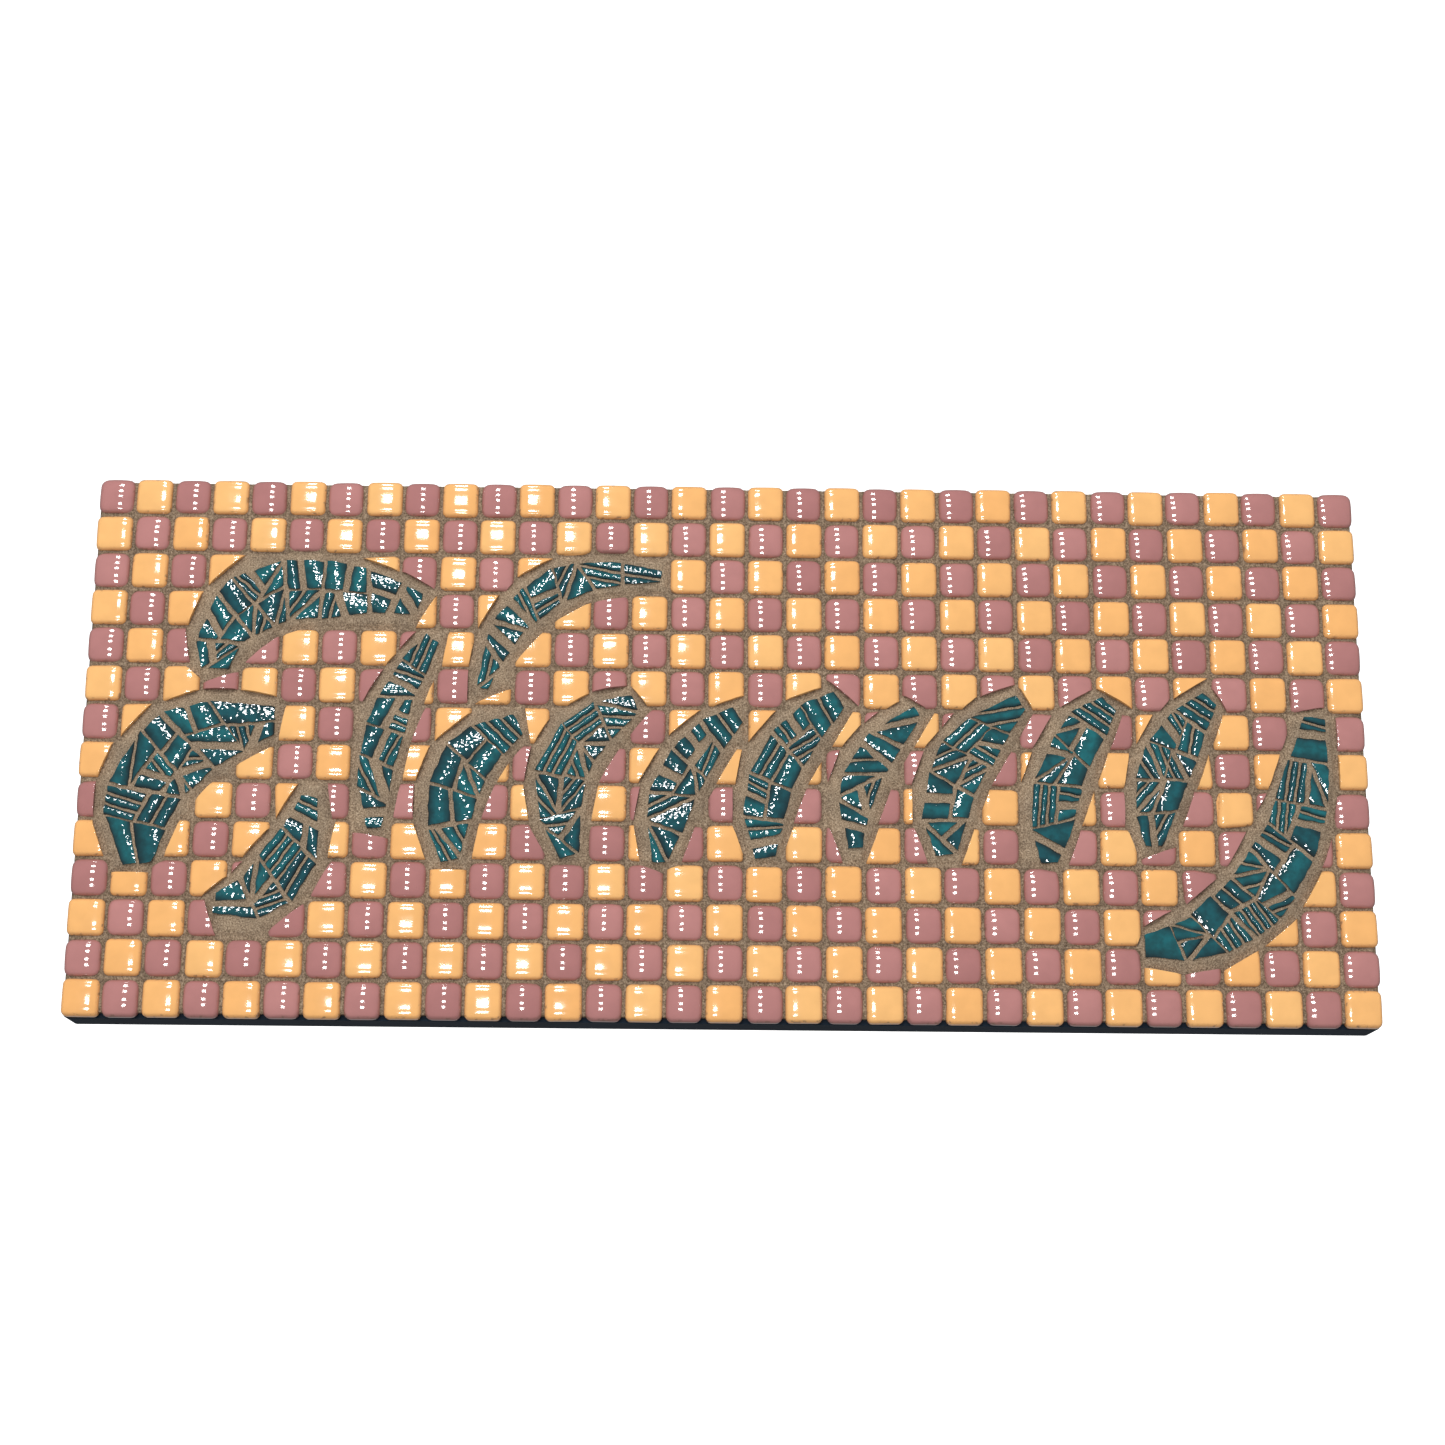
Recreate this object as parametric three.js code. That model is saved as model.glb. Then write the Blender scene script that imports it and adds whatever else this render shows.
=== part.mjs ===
// A wall-hung mosaic panel: a painted board, a bed of grout, rows of small glazed tiles laid as a chequer,
// and a line of curved strokes filled with broken tile. Lengths are in millimetres.
// The panel is built lying on its back, with x to the right, y up the panel and z towards the viewer,
// and the last lines stand it up against the wall: its origin is then the middle of its back, and +Z is up.

import * as THREE from "three";

// The tiles and how they are laid
const TILE = 10.2;
const TILE_THICKNESS = 4;
const TILE_PROUD = 1.2; // tile tops above the grout between them
const TILE_ROUND = 0.9; // width of the rounded rim of a tile's top
const COLUMNS = 33;
const ROWS = 14;
const JOINT_ACROSS = 1.3; // grout between neighbours in a row
const JOINT_UP = 1.5; // grout between rows

// The board and the bed under the tiles
const BOARD_THICKNESS = 12;
const BOARD_CORNER = 1.5;
const BED_THICKNESS = 0.8;

// The strokes of broken tile
const STROKE_RISE = 0.4; // grout of a stroke above the grout of the chequer
const STROKE_BORDER = 1.5; // grout of a stroke beyond its broken pieces
const STROKE_CLEARANCE = 0.5; // between a stroke's grout and a chequer tile cut to fit it
const SHARD_PROUD = 0.5;
const SHARD_ROUND = 0.3;
const SHARD_GAP = 1.1;
const GAP_STRAY = 0.3; // share of the gap
const SHARD_LENGTH = 11; // along the stroke
const SHARD_WIDTH = 10; // across the stroke
const CUT_SLANT = 0.3; // in shard lengths, at each edge of the stroke
const LANE_STRAY = 0.2; // in shard widths
const EDGE_STRAY = 0.16; // in half widths of the stroke, inwards only
const BROKEN_AGAIN = 0.3; // share of the shards broken from corner to corner

// What is too small to lay is left as grout
const SMALLEST_TILE_PIECE = 2.2;
const SMALLEST_SHARD = 1.3;

// How a tile is fitted to a stroke
const NIP_SEARCH = 0.6; // between the places looked at along the edges of tile and stroke
const NIP_DIRECTIONS = 36;
const LEAST_TURN = 0.04; // sine of the turn at a corner worth keeping

const SEAM = 0.05; // between a row and the ribs of grout beside it

// Each stroke bends from its start through its pull point to its end. Points are shares of the field's width
// and height from its lower left corner, and width is the broken tile's greatest width.
const STROKES = [
  { start: [0.05, 0.27], pull: [0.03, 0.52], end: [0.15, 0.54], width: 26 },
  { start: [0.11, 0.2], pull: [0.17, 0.2], end: [0.18, 0.4], width: 18 },
  { start: [0.1, 0.63], pull: [0.1, 0.86], end: [0.26, 0.76], width: 22 },
  { start: [0.23, 0.34], pull: [0.22, 0.53], end: [0.27, 0.7], width: 13 },
  { start: [0.31, 0.6], pull: [0.33, 0.86], end: [0.45, 0.82], width: 13 },
  { start: [0.29, 0.28], pull: [0.27, 0.47], end: [0.34, 0.54], width: 18 },
  { start: [0.38, 0.29], pull: [0.35, 0.51], end: [0.43, 0.58], width: 18 },
  { start: [0.45, 0.28], pull: [0.45, 0.46], end: [0.51, 0.56], width: 16 },
  { start: [0.53, 0.29], pull: [0.52, 0.49], end: [0.59, 0.59], width: 17 },
  { start: [0.6, 0.31], pull: [0.59, 0.47], end: [0.65, 0.57], width: 14 },
  { start: [0.67, 0.3], pull: [0.66, 0.48], end: [0.73, 0.59], width: 18 },
  { start: [0.75, 0.29], pull: [0.75, 0.49], end: [0.8, 0.59], width: 17 },
  { start: [0.83, 0.32], pull: [0.83, 0.49], end: [0.88, 0.6], width: 17 },
  { start: [0.82, 0.14], pull: [0.94, 0.15], end: [0.96, 0.57], width: 20 },
];
const OUTLINE_STEP = 8; // along the stroke's edge
const BLUNT_END = 0.05; // share of a stroke's taper cut off at each end

// Levels above the board's back
const boardTop = BOARD_THICKNESS;
const bedTop = boardTop + BED_THICKNESS;
const tileTop = bedTop + TILE_THICKNESS;
const groutTop = tileTop - TILE_PROUD;

// The field: tiles may stray from the grid by a little less than the slack
const slack = 0.2 * Math.min(JOINT_ACROSS, JOINT_UP);
const pitchAcross = TILE + JOINT_ACROSS;
const pitchUp = TILE + JOINT_UP;
const fieldWidth = COLUMNS * pitchAcross - JOINT_ACROSS + 2 * slack;
const fieldHeight = ROWS * pitchUp - JOINT_UP + 2 * slack;
const columnX = (column) => (column - (COLUMNS - 1) / 2) * pitchAcross;
const rowY = (row) => ((ROWS - 1) / 2 - row) * pitchUp; // row 0 is the top one
const rowDepth = TILE + 2 * slack;

const material = (color, roughness) => new THREE.MeshStandardMaterial({ color, roughness, metalness: 0 });
const PAINTED_BOARD = material(0x24384c, 0.6);
const GROUT = material(0x8c7560, 0.95);
const PINK_GLAZE = material(0xb8737a, 0.12);
const APRICOT_GLAZE = material(0xfdbd78, 0.12);
const TEAL_GLAZE = material(0x0f5560, 0.1);

// A number from -1 to 1 that is always the same for the same three whole numbers
function wobble(a, b, c) {
  const s = Math.sin(a * 127.1 + b * 311.7 + c * 74.7 + 3.1) * 43758.5453;
  return 2 * (s - Math.floor(s)) - 1;
}

const point = (x, y) => new THREE.Vector2(x, y);
const point3 = (x, y, z) => new THREE.Vector3(x, y, z);

// Polygons are lists of corners in counterclockwise order. A corner's cut flag says that the side from it
// to the next corner was nipped, so that it stands upright and has no rounded rim.
const polygon = (corners) => corners.map(([x, y]) => ({ x, y, cut: false }));

const side = (corners, i) => {
  const a = corners[i];
  const b = corners[(i + 1) % corners.length];
  const length = Math.hypot(b.x - a.x, b.y - a.y);
  return { a, b, length, outX: (b.y - a.y) / length, outY: (a.x - b.x) / length };
};

const sides = (corners) => corners.map((_, i) => side(corners, i));

// How far a point is outside the line of a side; negative inside
const beyond = ({ a, outX, outY }, p) => (p.x - a.x) * outX + (p.y - a.y) * outY;

const depthInside = (corners, p) => -Math.max(...sides(corners).map((s) => beyond(s, p)));

// The narrowest width of a convex polygon
const narrowest = (corners) =>
  Math.min(...sides(corners).map((s) => Math.max(...corners.map((p) => -beyond(s, p)))));

// Drops corners that are close to the next one or lie nearly on a straight side
function tidied(corners, shortest) {
  const apart = corners.filter((_, i) => side(corners, i).length > shortest);
  return apart.filter((p, i) => {
    const before = apart[(i + apart.length - 1) % apart.length];
    const after = apart[(i + 1) % apart.length];
    const turn = (p.x - before.x) * (after.y - p.y) - (p.y - before.y) * (after.x - p.x);
    const lengths = Math.hypot(p.x - before.x, p.y - before.y) * Math.hypot(after.x - p.x, after.y - p.y);
    return turn > LEAST_TURN * lengths;
  });
}

// What is left of a convex polygon on the side of a line that its normal points to. The new side is flagged
// cut if more than a rounded rim is taken off; after less, it is given a rim again.
function clipped(corners, line) {
  const height = (p) => (p.x - line.x) * line.outX + (p.y - line.y) * line.outY;
  const cut = Math.min(...corners.map(height)) < -TILE_ROUND;
  const kept = [];
  corners.forEach((p, i) => {
    const q = corners[(i + 1) % corners.length];
    const hp = height(p);
    const hq = height(q);
    if (hp >= 0) kept.push({ ...p });
    if (hp >= 0 !== hq >= 0) {
      const t = hp / (hp - hq);
      kept.push({ x: p.x + t * (q.x - p.x), y: p.y + t * (q.y - p.y), cut: hp >= 0 ? cut : p.cut });
    }
  });
  return kept;
}

// A convex polygon with each side moved inwards by its own amount, or null if nothing is left of some side
function inset(corners, amount) {
  const moved = sides(corners).map((s) => {
    const by = amount(s.a);
    return { x: s.a.x - s.outX * by, y: s.a.y - s.outY * by, dirX: -s.outY, dirY: s.outX, cut: s.a.cut };
  });
  const result = moved.map((s, i) => {
    const last = moved[(i + moved.length - 1) % moved.length];
    const cross = last.dirX * s.dirY - last.dirY * s.dirX;
    const t = ((s.x - last.x) * s.dirY - (s.y - last.y) * s.dirX) / cross;
    return { x: last.x + last.dirX * t, y: last.y + last.dirY * t, cut: s.cut };
  });
  const forward = moved.every((s, i) => {
    const a = result[i];
    const b = result[(i + 1) % result.length];
    return (b.x - a.x) * s.dirX + (b.y - a.y) * s.dirY > 0.1;
  });
  return forward ? result : null;
}

// A closed solid: an outline from bottom to surface, with raised pieces standing on the surface.
// A raised piece has a foot and a top polygon with as many corners, and its height.
function reliefGeometry(outline, raised, bottom, surface) {
  const position = [];
  const triangle = (...corners) => corners.forEach((c) => position.push(...c));
  const at = (p, z) => [p.x, p.y, z];
  const cover = (contour, holes, z, facingUp) => {
    const all = [contour, ...holes].flat();
    for (const [a, b, c] of THREE.ShapeUtils.triangulateShape(
      contour.map((p) => point(p.x, p.y)),
      holes.map((hole) => hole.map((p) => point(p.x, p.y))),
    )) {
      if (facingUp) triangle(at(all[a], z), at(all[b], z), at(all[c], z));
      else triangle(at(all[c], z), at(all[b], z), at(all[a], z));
    }
  };
  const wall = (foot, footZ, top, topZ) =>
    foot.forEach((p, i) => {
      const j = (i + 1) % foot.length;
      triangle(at(p, footZ), at(foot[j], footZ), at(top[j], topZ));
      triangle(at(p, footZ), at(top[j], topZ), at(top[i], topZ));
    });
  cover(outline, [], bottom, false);
  wall(outline, bottom, outline, surface);
  cover(outline, raised.map((piece) => [...piece.foot].reverse()), surface, true);
  for (const piece of raised) {
    wall(piece.foot, surface, piece.top, surface + piece.height);
    cover(piece.top, [], surface + piece.height, true);
  }
  const geometry = new THREE.BufferGeometry();
  geometry.setAttribute("position", new THREE.Float32BufferAttribute(position, 3));
  geometry.computeVertexNormals();
  return geometry;
}

// A stroke's curve in the field's own millimetres, with the half width of its broken tile at any share t
function strokeCurve({ start, pull, end, width }) {
  const place = ([x, y]) => point((x - 0.5) * fieldWidth, (y - 0.5) * fieldHeight);
  const curve = new THREE.QuadraticBezierCurve(place(start), place(pull), place(end));
  const halfWidth = (t) =>
    (width / 2) * Math.sqrt(Math.sin(Math.PI * (BLUNT_END + (1 - 2 * BLUNT_END) * t)));
  // A point beside the curve: across is -1 at its right edge and 1 at its left edge
  const beside = (t, across, extra = 0) => {
    const middle = curve.getPoint(t);
    const along = curve.getTangent(t);
    const offset = across * (halfWidth(t) + extra);
    return { x: middle.x - along.y * offset, y: middle.y + along.x * offset };
  };
  return { curve, halfWidth, beside, length: curve.getLength() };
}

// The edge of a stroke's grout, counterclockwise: up its right side, round its end and down its left side
function strokeOutline({ curve, beside, length }, border = STROKE_BORDER) {
  const count = Math.round(length / OUTLINE_STEP);
  const steps = Array.from({ length: count + 1 }, (_, i) => i / count);
  const tip = (t, direction) => {
    const p = curve.getPoint(t).addScaledVector(curve.getTangent(t), direction * border);
    return { x: p.x, y: p.y };
  };
  return [
    ...steps.map((t) => beside(t, -1, border)),
    tip(1, 1),
    ...steps.reverse().map((t) => beside(t, 1, border)),
    tip(0, -1),
  ];
}

// Broken tile for a stroke. Straight slanting cuts part the stroke into short lengths, each length is parted
// lengthwise into a few pieces, and some of these are broken once more from corner to corner.
function shardsOf(stroke, key) {
  const lengths = Math.round(stroke.length / SHARD_LENGTH);
  const cuts = Array.from({ length: lengths + 1 }, (_, i) => {
    const slant = i > 0 && i < lengths ? CUT_SLANT * wobble(key, i, 50) : 0;
    const reach = (which) => 1 - EDGE_STRAY * Math.abs(wobble(key, i, which));
    return {
      right: stroke.beside((i - slant) / lengths, -reach(60)),
      left: stroke.beside((i + slant) / lengths, reach(61)),
    };
  });
  return cuts.slice(1).flatMap((far, i) => {
    const near = cuts[i];
    const count = Math.max(1, Math.round((2 * stroke.halfWidth((i + 0.5) / lengths)) / SHARD_WIDTH));
    const on = (cut, lane, end) => {
      const stray = lane > 0 && lane < count ? LANE_STRAY * wobble(key, i, lane + end) : 0;
      const share = (lane + stray) / count;
      const x = cut.right.x + share * (cut.left.x - cut.right.x);
      return { x, y: cut.right.y + share * (cut.left.y - cut.right.y), cut: false };
    };
    return Array.from({ length: count }, (_, lane) => {
      const [a, b] = [on(near, lane, 20), on(far, lane, 40)];
      const [c, d] = [on(far, lane + 1, 40), on(near, lane + 1, 20)];
      const chance = wobble(key, i, lane + 70);
      if (chance > 1 - BROKEN_AGAIN) return [[a, b, c], [a, c, d]];
      if (chance < BROKEN_AGAIN - 1) return [[a, b, d], [b, c, d]];
      return [[a, b, c, d]];
    }).flat();
  });
}

// A raised piece on its foot polygon, or null if the piece is too small to lay. A piece too narrow for the
// whole rim has a smaller one.
function raisedPiece(corners, height, round, smallest) {
  const foot = corners && tidied(corners, round);
  if (!foot || foot.length < 3 || narrowest(foot) < smallest) return null;
  const tops = [1, 0.5, 0.25].map((share) => inset(foot, (corner) => (corner.cut ? 0 : share * round)));
  const top = tops.find((made) => made);
  return top ? { foot, top, height } : null;
}

function isInside(outline, p) {
  let inside = false;
  for (const { a, b } of sides(outline)) {
    if (a.y > p.y !== b.y > p.y && p.x < a.x + ((p.y - a.y) / (b.y - a.y)) * (b.x - a.x)) inside = !inside;
  }
  return inside;
}

const areaOf = (corners) => sides(corners).reduce((sum, { a, b }) => sum + (a.x * b.y - b.x * a.y) / 2, 0);

// Places along the sides of a polygon, its corners among them
const placesAlong = (corners) =>
  sides(corners).flatMap((s) =>
    Array.from({ length: Math.ceil(s.length / NIP_SEARCH) }, (_, i) => {
      const along = i * NIP_SEARCH;
      return { x: s.a.x - along * s.outY, y: s.a.y + along * s.outX };
    }),
  );

// A tile cut with one straight nip that clears a stroke's outline and keeps as much of the tile as it can
function nipped(tile, outline) {
  const covered = [
    ...placesAlong(outline).filter((p) => depthInside(tile, p) > 0),
    ...placesAlong(tile).filter((p) => isInside(outline, p)),
  ];
  if (!covered.length) return tile;
  const pieces = Array.from({ length: NIP_DIRECTIONS }, (_, i) => {
    const angle = (2 * Math.PI * i) / NIP_DIRECTIONS;
    const [outX, outY] = [Math.cos(angle), Math.sin(angle)];
    const reach = Math.max(...covered.map((p) => p.x * outX + p.y * outY));
    return clipped(tile, { x: reach * outX, y: reach * outY, outX, outY });
  });
  return pieces.reduce((best, piece) => (areaOf(piece) > areaOf(best) ? piece : best));
}

// The square of one tile, laid by hand: a little off its place and a little turned
function laidTile(column, row) {
  const x = columnX(column) + 0.65 * slack * wobble(column, row, 1);
  const y = 0.65 * slack * wobble(column, row, 2);
  const turn = ((0.5 * slack) / TILE) * wobble(column, row, 3);
  const half = TILE / 2;
  return polygon(
    [[-half, -half], [half, -half], [half, half], [-half, half]].map(([dx, dy]) => [
      x + dx * Math.cos(turn) - dy * Math.sin(turn),
      y + dx * Math.sin(turn) + dy * Math.cos(turn),
    ]),
  );
}

function mesh(name, geometry, material, x = 0, y = 0, z = 0) {
  const made = new THREE.Mesh(geometry, material);
  made.name = name;
  made.position.set(x, y, z);
  return made;
}

function backingBoard() {
  const right = fieldWidth / 2;
  const top = fieldHeight / 2;
  const r = BOARD_CORNER;
  const outline = new THREE.Shape()
    .absarc(right - r, top - r, r, 0, Math.PI / 2)
    .absarc(r - right, top - r, r, Math.PI / 2, Math.PI)
    .absarc(r - right, r - top, r, Math.PI, 1.5 * Math.PI)
    .absarc(right - r, r - top, r, 1.5 * Math.PI, 2 * Math.PI);
  const geometry = new THREE.ExtrudeGeometry(outline, {
    depth: BOARD_THICKNESS,
    bevelEnabled: false,
    curveSegments: 2,
  });
  return mesh("backing_board", geometry, PAINTED_BOARD);
}

// The bed of adhesive and grout: a sheet on the board, with a rib of grout between each two rows.
// Its end profile is drawn in y and z and then run across the panel.
function groutBed() {
  const profile = new THREE.Shape();
  const ribHeight = groutTop - boardTop;
  profile.moveTo(fieldHeight / 2, 0);
  profile.lineTo(fieldHeight / 2, BED_THICKNESS);
  for (let row = 0; row < ROWS - 1; row++) {
    const ribTop = rowY(row) - rowDepth / 2 - SEAM;
    const ribFoot = rowY(row + 1) + rowDepth / 2 + SEAM;
    profile.lineTo(ribTop, BED_THICKNESS);
    profile.lineTo(ribTop, ribHeight);
    profile.lineTo(ribFoot, ribHeight);
    profile.lineTo(ribFoot, BED_THICKNESS);
  }
  profile.lineTo(-fieldHeight / 2, BED_THICKNESS);
  profile.lineTo(-fieldHeight / 2, 0);
  const geometry = new THREE.ExtrudeGeometry(profile, { depth: fieldWidth, bevelEnabled: false });
  // The profile was drawn in x and y and run along z: turn these into y, z and x
  const [alongX, alongY, alongZ] = [point3(0, 1, 0), point3(0, 0, 1), point3(1, 0, 0)];
  geometry.applyMatrix4(new THREE.Matrix4().makeBasis(alongX, alongY, alongZ));
  geometry.translate(-fieldWidth / 2, 0, 0);
  return mesh("grout_bed", geometry, GROUT, 0, 0, boardTop);
}

// One row: the embedded part of its tiles with the grout between them as one bar, and each tile's top on it
function tileRow(row, strokeEdges) {
  const nearby = strokeEdges.map((edge) => edge.map((p) => ({ x: p.x, y: p.y - rowY(row) })));
  const pieces = Array.from({ length: COLUMNS }, (_, column) => {
    const whole = laidTile(column, row);
    const left = nearby.reduce((kept, edge) => (kept.length ? nipped(kept, edge) : kept), whole);
    return raisedPiece(left, TILE_PROUD, TILE_ROUND, SMALLEST_TILE_PIECE);
  }).filter(Boolean);
  const bar = polygon([
    [-fieldWidth / 2, -rowDepth / 2],
    [fieldWidth / 2, -rowDepth / 2],
    [fieldWidth / 2, rowDepth / 2],
    [-fieldWidth / 2, rowDepth / 2],
  ]);
  const geometry = reliefGeometry(bar, pieces, 0, groutTop - bedTop);
  const name = `tile_row_${String(row + 1).padStart(2, "0")}`;
  // The chequer alternates along the row, and a row is coloured as its first tile is
  return mesh(name, geometry, row % 2 ? APRICOT_GLAZE : PINK_GLAZE, 0, rowY(row), bedTop);
}

// One stroke: a low island of grout that lies on the rows, with its broken tile standing on it
function tealStroke(stroke, number) {
  const pieces = shardsOf(stroke, number)
    .map((corners, i) => inset(corners, () => (SHARD_GAP / 2) * (1 + GAP_STRAY * wobble(number, i, 90))))
    .map((foot) => raisedPiece(foot, SHARD_PROUD, SHARD_ROUND, SMALLEST_SHARD))
    .filter(Boolean);
  const geometry = reliefGeometry(strokeOutline(stroke), pieces, 0, STROKE_RISE);
  return mesh(`teal_stroke_${number}`, geometry, TEAL_GLAZE, 0, 0, groutTop);
}

const strokes = STROKES.map(strokeCurve);
const strokeEdges = strokes.map((stroke) => strokeOutline(stroke, STROKE_BORDER + STROKE_CLEARANCE));

const lying = new THREE.Group();
lying.add(backingBoard(), groutBed());
for (let row = 0; row < ROWS; row++) lying.add(tileRow(row, strokeEdges));
strokes.forEach((stroke, i) => lying.add(tealStroke(stroke, i + 1)));
lying.rotation.x = Math.PI / 2; // y becomes up, and the face looks along -Y

const panel = new THREE.Group();
panel.add(lying);
export default panel;
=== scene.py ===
"""The looks of a wall-hung mosaic panel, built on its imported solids.

The panel has its own coordinates in millimetres, seen from the front: u to the right, v up and w out of the
wall. The outlines of all tiles and broken pieces start from those of the solids.
"""

import math
import random

import bpy
import numpy as np
from mathutils import Matrix, Vector, noise


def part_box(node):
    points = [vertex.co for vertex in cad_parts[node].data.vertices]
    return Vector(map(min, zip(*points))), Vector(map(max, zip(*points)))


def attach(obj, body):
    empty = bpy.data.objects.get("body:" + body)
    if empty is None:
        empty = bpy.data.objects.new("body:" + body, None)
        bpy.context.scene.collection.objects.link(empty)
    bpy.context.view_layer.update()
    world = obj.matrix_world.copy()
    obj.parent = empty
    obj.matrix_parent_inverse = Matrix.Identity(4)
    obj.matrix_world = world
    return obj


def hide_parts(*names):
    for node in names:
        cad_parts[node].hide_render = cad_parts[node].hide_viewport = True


MM = 0.001
SEED = 7
PANEL_TO_WORLD = Matrix(((1, 0, 0), (0, 0, -1), (0, 1, 0)))

# Camera: the photograph is square, and its focal length is in pixels
PHOTO_SIZE = 1445
FOCAL_LENGTH = 2500
SENSOR = 36
CAMERA_DISTANCE = 736.4
CAMERA_AIM = (-1.1, 7)
CAMERA_TILT = math.radians(-15.13)
CAMERA_YAW = math.radians(0.78)
CAMERA_ROLL = math.radians(-0.62)

# How the solids are read
LEVEL_TOLERANCE = 0.01
UPRIGHT_TOLERANCE = 0.05  # the top of a nipped side is no farther in than this

# Glazed tiles. Grow is how far a tile's foot reaches beyond its solid across and up, corner the radius
# of its corners seen from the front, rim the radius of its rounded edge, dome the radius of its crown, and
# cushion how far the crown falls besides with the fourth power of the distance from its middle.
PINK = {"grow": (0.17, 0.32), "corner": 2.2, "rim": 1.1, "dome": 15.5, "cushion": 0}
APRICOT = {"grow": (0.22, 0.28), "corner": 1.6, "rim": 1, "dome": 100, "cushion": 0.0006}
# Near its rims and on its walls a glaze has its pooled colour, grime and painted shade.
RIM_SHADE = 2.4  # how far in from the rim a glaze has another colour
NIPPED_RIM = 0.16
NIPPED_STRAY = 0.12
LARGEST_CORNER = 0.42  # in lengths of the shorter side beside it
TILE_TILT = math.radians(0.7)
TILE_SINK = 0.14
LEAN_REACH = 3.4  # how far from its middle a leaning tile may rise above its level
SLOPE_STEP = 0.004
LEAST_FACING = 0.45  # cosine between a border's inward normal and the way to the tile's middle
WIDEST_RIM = 0.75  # share of the way from the border to the tile's middle
RIM_ANGLES = [math.radians(a) for a in (90, 70, 50, 30, 0)]
CROWN_RINGS = (0.18, 0.38, 0.6, 0.82)
CORNER_STEPS = 4
SIDE_STEP = 1.5
NIPPED_STEP = 1.3
WALL_BELOW_GROUT = 2.2

# Ribbed teal pieces: each is a few half-round ribs side by side, with grout in the grooves between them.
# Top is measured up from the solid's top, edge up and foot down from the grout that the solid stands on.
RIB_PITCHES = (2.8, 3.2, 5.2, 6.5, 8)
RIB_PROFILE = (0, 0.04, 0.12, 0.24, 0.38, 0.5, 0.62, 0.76, 0.88, 0.96, 1)
RIB_FULLNESS = 1.9
RIB_GROOVE = 0.65
RIB_TURN = 0.15  # radians between the ribs and a piece's longest side, more or less
SMALLEST_RIB = 2
RIB_SLICE = 1.2
BROKEN_STRAY = 0.35
BROKEN_STRAY_SIZE = 2.4
BREAK_TURN = 0.3  # radians, more or less
BREAK_OFFSET = 0.6
SHARD_LARGEST = 120  # square millimetres
SHARD_LARGEST_SHARES = (0.35, 1)
SHARD_SMALLEST = 7
SHARD_GAPS = (1.1, 2.3)
SHARD_SPREAD = 0.3
SHARD_SHRINK = (0, 0.6)
SHARD_TOP = 0.27
SHARD_EDGE = -0.12
SHARD_FOOT = 0.8

# Grout. The joints' level is measured from the front of the bed's solid, and the islands rise above it. The
# grid has lines at shares of the pitch from the middle of each joint.
JOINT_LEVEL = -0.75
MENISCUS = 0.15
MENISCUS_REACH = 0.25
ISLAND_RISE = 1.09
ISLAND_EDGE = (0.6, 2.6)
GROUT_WAVE = 0.09
GROUT_WAVE_SIZE = 5.5
GROUT_INSET = 0.75
GROUT_INSET_BELOW = 1.5
GROUT_LINES = (0, 0.02, 0.045, 0.075, 0.14, 0.24, 0.36, 0.5)
GROUT_REACH = 4  # distances from a tile aren't told apart beyond this
EDGE_DROP = 0.5
EDGE_ROUND = 1
EDGE_LINES = (0, 0.2)  # shares of the rounded edge
EDGE_CLEAR = 0.25
OPEN_GROUT = (-0.3, 0.9)
OPEN_STRAY = 0.5
UNSEEN_UNDER_TILE = 1

# The studio, in metres. Each tile's crown shows the row of lamps as a line of bright dots.
STAGE_SIZE = 14
FLOOR_HEIGHT = -1.6
BACKDROP_DISTANCE = 2.4
WORLD_LIGHT = 0.35
LAMP_ELEVATIONS = (-9, 3, 20, 32, 45)
LAMP_DISTANCE = 2.2
LAMP_ASIDE = -0.27
LAMP_SIZE = (0.27, 0.18)
LAMP_POWER = 7.6

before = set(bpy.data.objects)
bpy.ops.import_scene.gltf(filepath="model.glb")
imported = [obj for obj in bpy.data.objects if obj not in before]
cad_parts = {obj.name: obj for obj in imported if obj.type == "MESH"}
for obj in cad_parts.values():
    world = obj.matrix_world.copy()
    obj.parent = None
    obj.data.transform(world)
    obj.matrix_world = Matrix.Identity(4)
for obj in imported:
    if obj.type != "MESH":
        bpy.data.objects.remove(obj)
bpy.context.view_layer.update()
rng = random.Random(SEED)
noise.seed_set(SEED)


def to_world(points):
    """An array of points in panel millimetres, turned into the frame's metres."""
    u, v, w = np.asarray(points, float).T
    return np.stack([u, -w, v], axis=1) * MM


# Reading the solids


def node_mesh(name):
    """A solid's welded points in panel millimetres, and its triangles."""
    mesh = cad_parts[name].data
    mesh.calc_loop_triangles()
    places = np.array([v.co for v in mesh.vertices]) / MM
    panel = np.stack([places[:, 0], places[:, 2], -places[:, 1]], axis=1).round(3)
    points, index = np.unique(panel, axis=0, return_inverse=True)
    index = index.ravel()
    return points, [tuple(index[i] for i in t.vertices) for t in mesh.loop_triangles]


def border_loops(triangles):
    """The closed loops of edges that only one of the triangles has."""
    edges = {(t[i], t[(i + 1) % 3]) for t in triangles for i in range(3)}
    following = {a: b for a, b in edges if (b, a) not in edges}
    loops = []
    while following:
        start, at = following.popitem()
        loop = [start]
        while at != start:
            loop.append(at)
            at = following.pop(at)
        loops.append(loop)
    return loops


def signed_area(loop):
    x, y = np.asarray(loop).T
    return 0.5 * float(np.dot(x, np.roll(y, -1)) - np.dot(y, np.roll(x, -1)))


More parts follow.
